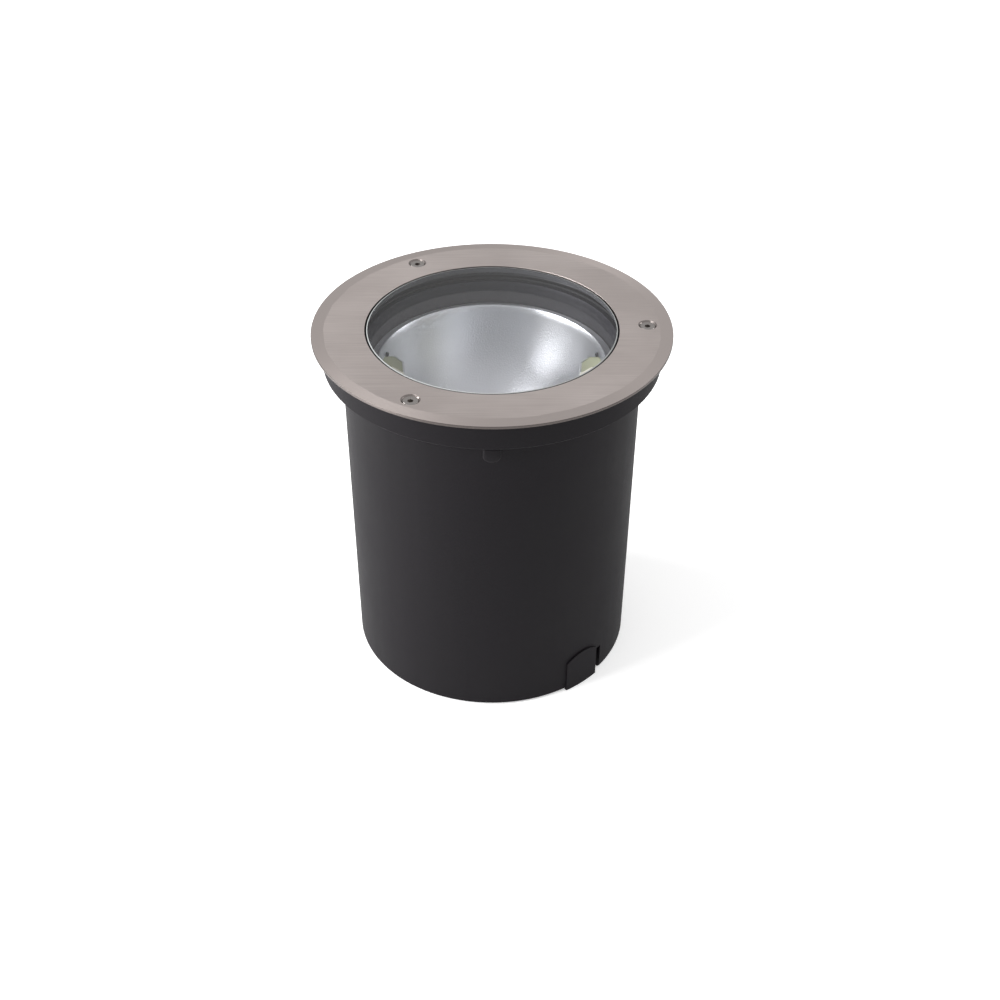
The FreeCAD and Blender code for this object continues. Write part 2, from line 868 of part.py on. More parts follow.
gland_body_under = housing_bottom - gland_body_height
gland_nut_top = gland_body_under - gland_nut_gap
gland_seal_radius = gland_cable / 2 + gland_seal_wall
gland_seal_top = housing_bottom
gland_seal_under = gland_seal_top - gland_seal_length
gland_nut_under = gland_seal_under - gland_nut_lip


def make_gland_body():
    """Gland body: hexagon under the housing and thread through its floor."""
    thread_top = housing_inside + gland_locknut_height
    body = hexagon(gland_body_flats, gland_body_under, housing_bottom)
    body = body.fuse(post(gland_thread / 2, housing_bottom - over, thread_top))
    seal_room = post(gland_seal_radius, gland_body_under - over, gland_seal_top)
    passage = post(gland_passage / 2, gland_body_under - over, thread_top + over)
    return body.cut(seal_room.fuse(passage))


def make_gland_locknut():
    """Locknut inside the housing."""
    nut = hexagon(gland_locknut_flats, housing_inside, housing_inside + gland_locknut_height)
    return nut.cut(post(gland_thread / 2, housing_inside - over, gear_plate_top))


def make_gland_seal():
    """Rubber sleeve that grips the cable."""
    return tube(gland_seal_radius, gland_cable / 2, gland_seal_under, gland_seal_top)


def make_gland_nut():
    """Clamping nut round the lower end of the seal."""
    body = hexagon(gland_nut_flats, gland_nut_under, gland_nut_top)
    passage = post(gland_passage / 2, gland_nut_under - over, gland_nut_top)
    seal_room = post(gland_seal_radius, gland_seal_under, gland_nut_top + over)
    return body.cut(passage.fuse(seal_room))


# ---- All nodes ----------------------------------------------------------

def all_nodes():
    """Every node's name with its shape."""
    carrier = make_carrier()
    holder = make_lampholder()
    contact = make_contact()
    return {
        "mounting_pot": make_mounting_pot(),
        "housing": make_housing(),
        "trim_ring": make_trim_ring(),
        "ring_screws": make_ring_screws(),
        "glass_lens": make_glass_lens(),
        "glass_gasket": make_glass_gasket(),
        "reflector": make_reflector(),
        "holder_carrier_right": carrier,
        "holder_carrier_left": mirrored(carrier),
        "lampholder_right": holder,
        "lampholder_left": mirrored(holder),
        "contact_right": contact,
        "contact_left": mirrored(contact),
        "lamp_envelope": make_lamp_envelope(),
        "lamp_arc_tube": make_arc_tube(),
        "lamp_bases": make_lamp_bases(),
        "lamp_tips": make_lamp_tips(),
        "heat_shield": make_heat_shield(),
        "shield_screws": make_shield_screws(),
        "gear_plate": make_gear_plate(),
        "gear_plate_screws": make_gear_screws(),
        "ballast_core": make_ballast_core(),
        "ballast_coil": make_ballast_coil(),
        "ignitor": make_ignitor(),
        "capacitor": make_capacitor(),
        "capacitor_clip": make_capacitor_clip(),
        "terminal_block": make_terminal_block(),
        "earth_screw": make_earth_screw(),
        "lamp_lead_left": make_lead(-1, gear_plate_top + ignitor_size_z),
        "lamp_lead_right": make_lead(1, gear_plate_top + terminal_size_z),
        "gland_body": make_gland_body(),
        "gland_locknut": make_gland_locknut(),
        "gland_seal": make_gland_seal(),
        "gland_nut": make_gland_nut(),
    }


os.makedirs("parts", exist_ok=True)
for name, shape in all_nodes().items():
    shape.exportStep("parts/" + name + ".step")
    print(name, len(shape.Solids), round(shape.Volume), shape.isValid())
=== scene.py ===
import bmesh
import bpy
import math
from mathutils import Matrix, Vector


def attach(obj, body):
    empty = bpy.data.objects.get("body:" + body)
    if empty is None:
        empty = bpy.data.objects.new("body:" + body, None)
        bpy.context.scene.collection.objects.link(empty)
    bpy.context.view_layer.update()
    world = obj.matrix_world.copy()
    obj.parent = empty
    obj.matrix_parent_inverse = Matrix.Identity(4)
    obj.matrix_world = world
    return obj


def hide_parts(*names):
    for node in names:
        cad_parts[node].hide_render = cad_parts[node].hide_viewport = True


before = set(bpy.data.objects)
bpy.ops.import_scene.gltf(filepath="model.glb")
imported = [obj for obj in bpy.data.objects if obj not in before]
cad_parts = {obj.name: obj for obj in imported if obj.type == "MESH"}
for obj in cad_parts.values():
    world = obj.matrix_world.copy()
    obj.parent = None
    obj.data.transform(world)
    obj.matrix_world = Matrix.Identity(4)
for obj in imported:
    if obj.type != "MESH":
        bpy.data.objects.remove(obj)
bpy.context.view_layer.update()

# ---- Camera -------------------------------------------------------------
# Stands in front of the light, a little above, at the photograph's own angle.
camera = bpy.data.objects.new("camera", bpy.data.cameras.new("camera"))
bpy.context.scene.collection.objects.link(camera)
camera.data.lens = 53.33
camera.data.sensor_width = 36.0
camera.location = (0.0, -0.71497, 0.62139)
look_down, look_aside, lean = 0.6392, -0.0069, 0.0060
turn = (Matrix.Rotation(look_aside, 4, "Z") @ Matrix.Rotation(math.pi / 2 - look_down, 4, "X")
        @ Matrix.Rotation(lean, 4, "Z"))
camera.rotation_euler = turn.to_euler()
bpy.context.scene.camera = camera


# ---- Studio -------------------------------------------------------------
# A pale sweep of paper in an even room, with soft boxes: two low on the left, one
# overhead, a faint one at the right front and one behind on each side.
def linear(code):
    """Linear colour of an sRGB hex value."""
    channels = [int(code[i:i + 2], 16) / 255 for i in (1, 3, 5)]
    return [c / 12.92 if c <= 0.04045 else ((c + 0.055) / 1.055) ** 2.4 for c in channels] + [1.0]


def node(tree, kind, links=None, into=None, **settings):
    """Adds one node. links gives its inputs, as values or as other nodes' outputs, and
    into gives the socket that each of its own outputs goes to."""
    made = tree.nodes.new(kind)
    for name, value in settings.items():
        setattr(made, name, value)
    for name, value in (links or {}).items():
        if isinstance(value, bpy.types.NodeSocket):
            tree.links.new(value, made.inputs[name])
        else:
            made.inputs[name].default_value = value
    for name, socket in (into or {}).items():
        tree.links.new(made.outputs[name], socket)
    return made


def material(name, colour, roughness, metallic=0.0, **others):
    """Material with one Principled shader, returned with its tree and that shader's inputs."""
    made = bpy.data.materials.new(name)
    made.use_nodes = True
    sockets = made.node_tree.nodes["Principled BSDF"].inputs
    sockets["Base Color"].default_value = linear(colour)
    sockets["Roughness"].default_value = roughness
    sockets["Metallic"].default_value = metallic
    for socket, value in others.items():
        sockets[socket.replace("_", " ")].default_value = value
    return made, made.node_tree, sockets


middle_of_light = Vector((0, 0, 0.15))
for name, place, width, height, power in [
        ("key_soft_box", (-1.75, -0.78, 0.78), 0.7, 0.9, 39.0),
        ("bowl_soft_box", (-1.85, -0.33, 0.83), 0.6, 0.6, 16.0),
        ("high_soft_box", (-0.94, 0.0, 1.92), 0.9, 0.9, 7.0),
        ("fill_soft_box", (1.33, -1.11, 1.00), 0.9, 1.0, 0.6),
        ("left_edge_soft_box", (-1.85, 0.33, 0.83), 0.7, 0.7, 27.0),
        ("right_edge_soft_box", (1.85, 0.33, 0.83), 0.6, 0.7, 10.0)]:
    soft_box = bpy.data.lights.new(name, "AREA")
    soft_box.shape = "RECTANGLE"
    soft_box.size, soft_box.size_y = width, height
    soft_box.energy = power
    stand = bpy.data.objects.new(name, soft_box)
    stand.location = place
    stand.rotation_euler = (middle_of_light - Vector(place)).to_track_quat("-Z", "Y").to_euler()
    bpy.context.scene.collection.objects.link(stand)

room = bpy.data.worlds.new("studio")
room.use_nodes = True
room.node_tree.nodes["Background"].inputs["Color"].default_value = linear("#FFFFFF")
room.node_tree.nodes["Background"].inputs["Strength"].default_value = 0.63
bpy.context.scene.world = room
bpy.context.scene.view_settings.view_transform = "Standard"

# Matt white paper, lit from below as well so that it stays white under the light.
paper, tree, sockets = material("matt_white_paper", "#F2F2F2", 0.9,
                                Emission_Color=(1, 1, 1, 1), Emission_Strength=0.42)
bpy.ops.mesh.primitive_circle_add(vertices=96, radius=6.0, fill_type="NGON")
floor = bpy.context.object
floor.name = "floor"
floor.data.materials.append(paper)


# ---- Mounting pot -------------------------------------------------------
# The pot that is set in the ground: one moulding in black, talc-filled
# polypropylene with a fine spark-eroded skin. The luminaire drops into it.
mm = 0.001


def settled(piece, name, body, finish, nodes=()):
    """Turns a piece and its modifiers into a plain mesh and sets it on its body."""
    graph = bpy.context.evaluated_depsgraph_get()
    mesh = bpy.data.meshes.new_from_object(piece.evaluated_get(graph))
    piece.modifiers.clear()
    piece.data = mesh
    mesh.name = name
    mesh.materials.clear()
    mesh.materials.append(finish)
    for face in mesh.polygons:
        face.material_index = 0
    if not mesh.has_custom_normals:
        for face in mesh.polygons:
            face.use_smooth = True
        mesh.set_sharp_from_angle(angle=math.radians(32))
    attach(piece, body)
    if nodes:
        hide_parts(*nodes)
    return piece


def softened(cad_node, name, body, radius, finish, from_angle=24.0):
    """Copy of a CAD node that stands for it, with its edges rounded to a radius in
    millimetres where they turn by more than from_angle degrees."""
    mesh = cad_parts[cad_node].data.copy()
    shape = bmesh.new()
    shape.from_mesh(mesh)
    bmesh.ops.remove_doubles(shape, verts=shape.verts, dist=0.001 * mm)
    bmesh.ops.dissolve_limit(shape, angle_limit=math.radians(0.4), verts=shape.verts,
                             edges=shape.edges)
    for face in shape.faces:
        face.smooth = True
    shape.to_mesh(mesh)
    shape.free()
    piece = bpy.data.objects.new(name, mesh)
    bpy.context.scene.collection.objects.link(piece)
    rounding = piece.modifiers.new("rounding", "BEVEL")
    rounding.width = radius * mm
    rounding.segments = 2
    rounding.limit_method = "ANGLE"
    rounding.angle_limit = math.radians(from_angle)
    evened = piece.modifiers.new("evened", "WEIGHTED_NORMAL")
    evened.weight = 100
    evened.keep_sharp = True
    return settled(piece, name, body, finish, [cad_node])


# Polypropylene is slightly waxy: low, broad gloss, with faint flow marks from the
# mould, 40 mm across. The eroded grain is 0.1 mm and is drawn at 0.7 mm to show.
black_moulding, tree, sockets = material("moulded_polypropylene_black", "#2A282B", 0.56,
                                         Specular_IOR_Level=0.12)
place = node(tree, "ShaderNodeTexCoord").outputs["Object"]
flow = node(tree, "ShaderNodeTexNoise", {
    "Vector": place, "Scale": 0.026 / mm, "Detail": 4.0, "Roughness": 0.6}).outputs["Fac"]
grain = node(tree, "ShaderNodeTexNoise", {
    "Vector": place, "Scale": 1.5 / mm, "Detail": 2.0, "Roughness": 0.7}).outputs["Fac"]
node(tree, "ShaderNodeMix", {"Factor": flow, "A": linear("#0D0B0E"), "B": linear("#141115")},
     {"Result": sockets["Base Color"]}, data_type="RGBA")
node(tree, "ShaderNodeMapRange", {"Value": flow, "To Min": 0.55, "To Max": 0.70},
     {"Result": sockets["Roughness"]})
node(tree, "ShaderNodeBump", {"Height": grain, "Strength": 0.35, "Distance": 0.2 * mm},
     {"Normal": sockets["Normal"]})

softened("mounting_pot", "moulded_pot", "pot", 0.6, black_moulding)


# ---- Housing ------------------------------------------------------------
# Die-cast aluminium cup that holds the optics and the gear, under a dark grey
# conversion coat. Its flange sits on the pot's ledge.
# The coat is a little metallic, patchy over 45 mm, on a cast skin of 3 mm ripples.
cast_grey, tree, sockets = material("die_cast_aluminium_dark_coat", "#4B4B50", 0.50, 0.3)
place = node(tree, "ShaderNodeTexCoord").outputs["Object"]
ripples = node(tree, "ShaderNodeTexNoise", {
    "Vector": place, "Scale": 0.32 / mm, "Detail": 3.0}).outputs["Fac"]
patches = node(tree, "ShaderNodeTexNoise", {
    "Vector": place, "Scale": 0.022 / mm, "Detail": 3.0}).outputs["Fac"]
node(tree, "ShaderNodeMix", {"Factor": patches, "A": linear("#212026"), "B": linear("#2B2A31")},
     {"Result": sockets["Base Color"]}, data_type="RGBA")
node(tree, "ShaderNodeBump", {"Height": ripples, "Strength": 0.2, "Distance": 0.2 * mm},
     {"Normal": sockets["Normal"]})

softened("housing", "cast_housing", "luminaire", 0.35, cast_grey)


# ---- Cable gland --------------------------------------------------------
# Nickel-plated brass gland in the housing's floor: body, locknut inside,
# clamping nut below, and the rubber sleeve that grips the supply cable.
# The plating is bright and warm, and dulled by handling in spots of 2.5 mm.
plated_brass, tree, sockets = material("nickel_plated_brass", "#B9B4A6", 0.24, 1.0)
place = node(tree, "ShaderNodeTexCoord").outputs["Object"]
handling = node(tree, "ShaderNodeTexNoise", {
    "Vector": place, "Scale": 0.4 / mm, "Detail": 3.0}).outputs["Fac"]
node(tree, "ShaderNodeMapRange", {"Value": handling, "To Min": 0.16, "To Max": 0.34},
     {"Result": sockets["Roughness"]})

softened("gland_body", "gland_hexagon", "luminaire", 0.4, plated_brass)
softened("gland_locknut", "gland_lock_ring", "luminaire", 0.4, plated_brass)
softened("gland_nut", "gland_clamping_nut", "luminaire", 0.5, plated_brass)

# Silicone rubber is matt, and dusty in specks of 1.4 mm.
silicone, tree, sockets = material("black_silicone_rubber", "#17171A", 0.62)
place = node(tree, "ShaderNodeTexCoord").outputs["Object"]
dust = node(tree, "ShaderNodeTexNoise", {
    "Vector": place, "Scale": 0.7 / mm, "Detail": 4.0}).outputs["Fac"]
node(tree, "ShaderNodeMix", {"Factor": dust, "A": linear("#141416"), "B": linear("#1D1D20")},
     {"Result": sockets["Base Color"]}, data_type="RGBA")
node(tree, "ShaderNodeBump", {"Height": dust, "Strength": 0.15, "Distance": 0.1 * mm},
     {"Normal": sockets["Normal"]})

softened("gland_seal", "gland_sleeve", "luminaire", 0.3, silicone)


# ---- Gear plate, heat shield and clip -----------------------------------
# Bright zinc-plated steel plate on the housing's posts that carries the control
# gear, and the heat shield above it, both held by hexagon-head screws.
# The zinc clouds in patches of 6 mm, each with its own tone and gloss.
zinc, tree, sockets = material("bright_zinc_plated_steel", "#B4B7BA", 0.36, 1.0)
place = node(tree, "ShaderNodeTexCoord").outputs["Object"]
clouds = node(tree, "ShaderNodeTexVoronoi", {
    "Vector": place, "Scale": 0.16 / mm}).outputs["Distance"]
node(tree, "ShaderNodeMix", {"Factor": clouds, "A": linear("#AEB1B5"), "B": linear("#C3C5C6")},
     {"Result": sockets["Base Color"]}, data_type="RGBA")
node(tree, "ShaderNodeMapRange", {"Value": clouds, "To Min": 0.28, "To Max": 0.44},
     {"Result": sockets["Roughness"]})

for cad_node, name in [("gear_plate", "gear_tray"), ("gear_plate_screws", "gear_tray_screws"),
                       ("heat_shield", "lamp_heat_shield"), ("shield_screws", "heat_shield_screws"),
                       ("capacitor_clip", "capacitor_strap")]:
    softened(cad_node, name, "luminaire", 0.18, zinc)


# ---- Control gear -------------------------------------------------------
# Ballast of dipped steel laminations round an enamelled copper coil, moulded
# ignitor, drawn aluminium capacitor, terminal block and brass earth screw.
# The laminations are 0.5 mm sheets under brown varnish, drawn at 1 mm to show.
laminations, tree, sockets = material("varnished_steel_laminations", "#2C2622", 0.42)
place = node(tree, "ShaderNodeTexCoord").outputs["Object"]
sheets = node(tree, "ShaderNodeTexWave", {
    "Vector": place, "Scale": 0.32 / mm, "Distortion": 0.3}).outputs["Fac"]
node(tree, "ShaderNodeMix", {"Factor": sheets, "A": linear("#241F1C"), "B": linear("#38302A")},
     {"Result": sockets["Base Color"]}, data_type="RGBA")
node(tree, "ShaderNodeBump", {"Height": sheets, "Strength": 0.5, "Distance": 0.3 * mm},
     {"Normal": sockets["Normal"]})
softened("ballast_core", "ballast_stack", "luminaire", 0.3, laminations)

# Copper shines orange through its enamel. The wire is 0.6 mm, drawn at 1.2 mm.
winding, tree, sockets = material("enamelled_copper_wire", "#9A4E2C", 0.3, 0.8)
place = node(tree, "ShaderNodeTexCoord").outputs["Object"]
turns = node(tree, "ShaderNodeTexWave", {
    "Vector": place, "Scale": 0.26 / mm, "Distortion": 0.6, "Detail Scale": 20.0},
    bands_direction="Z").outputs["Fac"]
node(tree, "ShaderNodeBump", {"Height": turns, "Strength": 0.7, "Distance": 0.5 * mm},
     {"Normal": sockets["Normal"]})
softened("ballast_coil", "ballast_winding", "luminaire", 0.8, winding)

# Both plastics are satin as moulded, and cloud faintly over 11 mm.
for cad_node, name, slot, title, pale, deep in [
        ("ignitor", "ignitor_case", "ignitor_plastic", "moulded_polyester_grey",
         "#C9C9C4", "#BDBDB8"),
        ("terminal_block", "terminal_strip", "terminal_plastic", "moulded_polyamide_ivory",
         "#D6D2C4", "#CAC6B8")]:
    moulded, tree, sockets = material(title, pale, 0.45)
    place = node(tree, "ShaderNodeTexCoord").outputs["Object"]
    clouding = node(tree, "ShaderNodeTexNoise", {
        "Vector": place, "Scale": 0.09 / mm, "Detail": 5.0}).outputs["Fac"]
    node(tree, "ShaderNodeMix", {"Factor": clouding, "A": linear(pale), "B": linear(deep)},
         {"Result": sockets["Base Color"]}, data_type="RGBA")
    softened(cad_node, name, "luminaire", 0.4, moulded)

# Drawing leaves the can bright, with fine lines along X, drawn 1.1 mm apart to show.
drawn_can, tree, sockets = material("drawn_aluminium_can", "#C4C6C8", 0.3, 1.0)
place = node(tree, "ShaderNodeTexCoord").outputs["Object"]
along_can = node(tree, "ShaderNodeMapping", {
    "Vector": place, "Scale": (0.04 / mm, 0.9 / mm, 0.9 / mm)}).outputs["Vector"]
draw_lines = node(tree, "ShaderNodeTexNoise", {
    "Vector": along_can, "Scale": 1.0, "Detail": 3.0}).outputs["Fac"]
node(tree, "ShaderNodeMapRange", {"Value": draw_lines, "To Min": 0.2, "To Max": 0.42},
     {"Result": sockets["Roughness"]})
softened("capacitor", "capacitor_can", "luminaire", 1.2, drawn_can)

# Plain brass, bright where it is pressed and duller between, over 1.7 mm.
contact_metal, tree, sockets = material("bright_contact_brass", "#C8A968", 0.26, 1.0)
place = node(tree, "ShaderNodeTexCoord").outputs["Object"]
tarnish = node(tree, "ShaderNodeTexNoise", {
    "Vector": place, "Scale": 0.6 / mm, "Detail": 3.0}).outputs["Fac"]
node(tree, "ShaderNodeMapRange", {"Value": tarnish, "To Min": 0.18, "To Max": 0.36},
     {"Result": sockets["Roughness"]})
softened("earth_screw", "earth_terminal", "luminaire", 0.25, contact_metal)

# Braided glass yarn under silicone: matt, off-white, with a 0.6 mm weave.
sleeving, tree, sockets = material("glass_silicone_sleeving", "#D2CFC6", 0.7)
place = node(tree, "ShaderNodeTexCoord").outputs["Object"]
braid = node(tree, "ShaderNodeTexVoronoi", {
    "Vector": place, "Scale": 1.6 / mm}).outputs["Distance"]
node(tree, "ShaderNodeBump", {"Height": braid, "Strength": 0.4, "Distance": 0.2 * mm},
     {"Normal": sockets["Normal"]})
softened("lamp_lead_left", "left_lamp_lead", "luminaire", 0.1, sleeving)
softened("lamp_lead_right", "right_lamp_lead", "luminaire", 0.1, sleeving)


# ---- Lampholders and carriers -------------------------------------------
# Cream-enamelled plates behind the reflector's windows; each carries a steatite
# lampholder, open at the top, with a sprung plunger behind it.
# Fired enamel has a soft gloss, 2 mm orange peel and a tone that wanders over 17 mm.
enamel, tree, sockets = material("cream_enamelled_steel", "#A9AC8F", 0.38)
place = node(tree, "ShaderNodeTexCoord").outputs["Object"]
orange_peel = node(tree, "ShaderNodeTexNoise", {
    "Vector": place, "Scale": 0.5 / mm, "Detail": 2.0}).outputs["Fac"]
firing = node(tree, "ShaderNodeTexNoise", {
    "Vector": place, "Scale": 0.06 / mm, "Detail": 2.0}).outputs["Fac"]
node(tree, "ShaderNodeMix", {"Factor": firing, "A": linear("#96997E"), "B": linear("#A5A88D")},
     {"Result": sockets["Base Color"]}, data_type="RGBA")
node(tree, "ShaderNodeBump", {"Height": orange_peel, "Strength": 0.1, "Distance": 0.2 * mm},
     {"Normal": sockets["Normal"]})

# Steatite is pressed and fired bare, so it is chalky. Its fine grain is drawn at
# 1.1 mm to show.
steatite, tree, sockets = material("unglazed_steatite_ceramic", "#E2DFD0", 0.55)
place = node(tree, "ShaderNodeTexCoord").outputs["Object"]
fired_grain = node(tree, "ShaderNodeTexNoise", {
    "Vector": place, "Scale": 0.9 / mm, "Detail": 4.0}).outputs["Fac"]
node(tree, "ShaderNodeMix", {
    "Factor": fired_grain, "A": linear("#DCD8C8"), "B": linear("#EAE7DA")},
    {"Result": sockets["Base Color"]}, data_type="RGBA")
node(tree, "ShaderNodeBump", {"Height": fired_grain, "Strength": 0.25, "Distance": 0.1 * mm},
     {"Normal": sockets["Normal"]})

for side in ("right", "left"):
    softened("holder_carrier_" + side, side + "_carrier_plate", "luminaire",
             0.2, enamel)
    softened("lampholder_" + side, side + "_ceramic_holder", "luminaire",
             0.6, steatite)
    softened("contact_" + side, side + "_sprung_plunger", "contact_plunger_" + side,
             0.3, contact_metal)


# ---- Lamp ---------------------------------------------------------------
# Double-ended discharge lamp: a quartz tube pinched at both ends, a ceramic
# burner on its wires, ceramic bases and small contact tips.
def turned(profile, segments):
    """Surface turned about Z from (radius, height) corners in millimetres."""
    shape = bmesh.new()
    rings = []
    for radius, height in profile:
        if radius == 0:
            rings.append([shape.verts.new((0, 0, height * mm))])
            continue
        ring = []
        for step in range(segments):
            angle = 2 * math.pi * step / segments
            ring.append(shape.verts.new((radius * mm * math.cos(angle),
                                         radius * mm * math.sin(angle), height * mm)))
        rings.append(ring)
    for first, second in zip(rings, rings[1:]):
        for step in range(segments):
            after = (step + 1) % segments
            corners = [first[step % len(first)], first[after % len(first)],
                       second[after % len(second)], second[step % len(second)]]
            shape.faces.new(list(dict.fromkeys(corners)))
    return shape


def eased(corners, radius, steps=4):
    """The corners of a profile with each rounded to a radius, but for those on the axis."""
    points = []
    for index, corner in enumerate(corners):
        here = Vector(corner)
        if here.x == 0:
            points.append(tuple(here))
            continue
        before = Vector(corners[index - 1]) - here
        after = Vector(corners[(index + 1) % len(corners)]) - here
        reach = min(radius, 0.45 * before.length, 0.45 * after.length)
        start = here + before.normalized() * reach
        end = here + after.normalized() * reach
        for step in range(steps + 1):
            share = step / steps
            points.append(tuple((1 - share) ** 2 * start + 2 * share * (1 - share) * here
                                + share ** 2 * end))
    return points


def placed(shape, name, turn=Matrix()):
    """Object made from a bmesh, turned and moved in its mesh."""
    mesh = bpy.data.meshes.new(name)
    bmesh.ops.transform(shape, matrix=turn, verts=shape.verts)
    bmesh.ops.recalc_face_normals(shape, faces=shape.faces)
    shape.to_mesh(mesh)
    shape.free()
    piece = bpy.data.objects.new(name, mesh)
    bpy.context.scene.collection.objects.link(piece)
    return piece


# Fused quartz is colourless, drawn smooth, and bends what is seen through it.
quartz, tree, sockets = material("fused_quartz", "#F4F7F8", 0.02,
                                 Transmission_Weight=1.0, IOR=1.46)
lamp_axis = 154.0
along_lamp = Matrix.Translation((0, 0, lamp_axis * mm)) @ Matrix.Rotation(math.pi / 2, 4, "Y")
tube, neck, pinch = 10.0, 6.5, 4.4
half_outline = [(tube, 29.0), (neck, 34.5), (pinch, 37.0), (pinch, 45.0), (0, 45.0)]
lamp_outline = [(radius, -height) for radius, height in half_outline[::-1]] + half_outline
settled(placed(turned(eased(lamp_outline, 2.0), 48), "quartz_envelope", along_lamp),
        "quartz_envelope", "luminaire", quartz, ["lamp_envelope"])

# Sintered alumina is milky, in clouds of 3 mm, and lets a little light into itself.
burner, tree, sockets = material("translucent_alumina_burner", "#E9E6DF", 0.35,
                                 Subsurface_Weight=0.2)
place = node(tree, "ShaderNodeTexCoord").outputs["Object"]
milk = node(tree, "ShaderNodeTexNoise", {"Vector": place, "Scale": 0.3 / mm}).outputs["Fac"]
node(tree, "ShaderNodeMix", {"Factor": milk, "A": linear("#E4E0D8"), "B": linear("#EFECE6")},
     {"Result": sockets["Base Color"]}, data_type="RGBA")
softened("lamp_arc_tube", "ceramic_burner", "luminaire", 0.3, burner)
softened("lamp_bases", "lamp_end_bases", "luminaire", 0.5, steatite)
softened("lamp_tips", "lamp_contact_tips", "luminaire", 0.3, contact_metal)


# ---- Reflector ----------------------------------------------------------
# Bowl spun from soft aluminium sheet and lightly hammered, with a raised lip and
# two windows for the lampholders. It hangs by its flange under the glass.

# Spinning leaves rings round the bowl, so the gloss fans along its slope, and the
# hammering breaks it up in 1 mm dimples with a fine haze over them.
spun_aluminium, tree, sockets = material("spun_hammered_aluminium", "#E6E8EB", 0.34, 1.0,
                                         Anisotropic=0.8, Anisotropic_Rotation=0.25)
node(tree, "ShaderNodeTangent", into={"Tangent": sockets["Tangent"]},
     direction_type="RADIAL", axis="Z")
place = node(tree, "ShaderNodeTexCoord").outputs["Object"]
dimples = node(tree, "ShaderNodeTexVoronoi", {
    "Vector": place, "Scale": 1.0 / mm}).outputs["Distance"]
haze = node(tree, "ShaderNodeTexNoise", {
    "Vector": place, "Scale": 1.2 / mm, "Detail": 3.0}).outputs["Fac"]
hammered = node(tree, "ShaderNodeBump", {
    "Height": dimples, "Strength": 0.3, "Distance": 0.3 * mm}).outputs["Normal"]
node(tree, "ShaderNodeBump", {
    "Height": haze, "Strength": 0.3, "Distance": 0.2 * mm, "Normal": hammered},
    {"Normal": sockets["Normal"]})
node(tree, "ShaderNodeMapRange", {"Value": haze, "To Min": 0.28, "To Max": 0.42},
     {"Result": sockets["Roughness"]})


def extruded(shape, outline, start, end):
    """Adds a block to a bmesh: a (y, z) outline drawn from x = start to x = end."""
    near = [shape.verts.new((start * mm, y * mm, z * mm)) for y, z in outline]
    far = [shape.verts.new((end * mm, y * mm, z * mm)) for y, z in outline]
    shape.faces.new(near)
    shape.faces.new(far[::-1])
    for index in range(len(outline)):
        shape.faces.new([near[index], near[index - 1], far[index - 1], far[index]])


bowl_radius, bowl_rim, bowl_depth, sheet = 63.3, 186.2, 62.0, 0.8
flange_radius, lip_rise, slope_steps = 69.0, 1.5, 32
inside, outside = [], []
for step in range(slope_steps):
    slope = math.pi / 2 * step / slope_steps
    inside.append((bowl_radius * math.cos(slope), bowl_rim - bowl_depth * math.sin(slope)))
    outside.append(((bowl_radius + sheet) * math.cos(slope),
                    bowl_rim - sheet - bowl_depth * math.sin(slope)))
bottom = bowl_rim - bowl_depth
lip = eased([(bowl_radius + 2.6, bowl_rim - sheet), (flange_radius, bowl_rim - sheet),
             (flange_radius, bowl_rim), (bowl_radius + 2.6, bowl_rim),
             (bowl_radius + 1.6, bowl_rim + lip_rise), (bowl_radius + 0.4, bowl_rim + lip_rise)],
            0.5, 3)
bowl_profile = [(0.0, bottom - sheet)] + outside[:0:-1] + lip + inside + [(0.0, bottom)]
bowl = placed(turned(bowl_profile, 192), "spun_reflector")

window_outline = [(-15.0, 140.0), (15.0, 140.0), (31.0, 167.3), (26.6, 174.0), (15.0, 181.3),
                  (-15.0, 181.3), (-26.6, 174.0), (-31.0, 167.3)]
punch_start, punch_end = 30, 80
punch = bmesh.new()
for side in (-1, 1):
    extruded(punch, window_outline, side * punch_start, side * punch_end)
cutter = placed(punch, "window_cutter")
cutting = bowl.modifiers.new("windows", "BOOLEAN")
cutting.object = cutter
cutting.operation = "DIFFERENCE"
cutting.solver = "EXACT"
settled(bowl, "spun_reflector", "luminaire", spun_aluminium, ["reflector"])
bpy.data.objects.remove(cutter)


# ---- Window backings ----------------------------------------------------
# Enamelled plates that lie against the bowl's outside and fill its windows round
# the lampholders. They are held by the bowl's rivets and stand on the carriers.
def spread(*stops):
    """Even steps between stops: (value, steps), (value, steps), ... , last value."""
    values = []
    for (start, steps), end in zip(stops, [stop[0] for stop in stops[1:]]):
        values += [start + (end - start) * step / steps for step in range(steps)]
    return values + [stops[-1][0]]


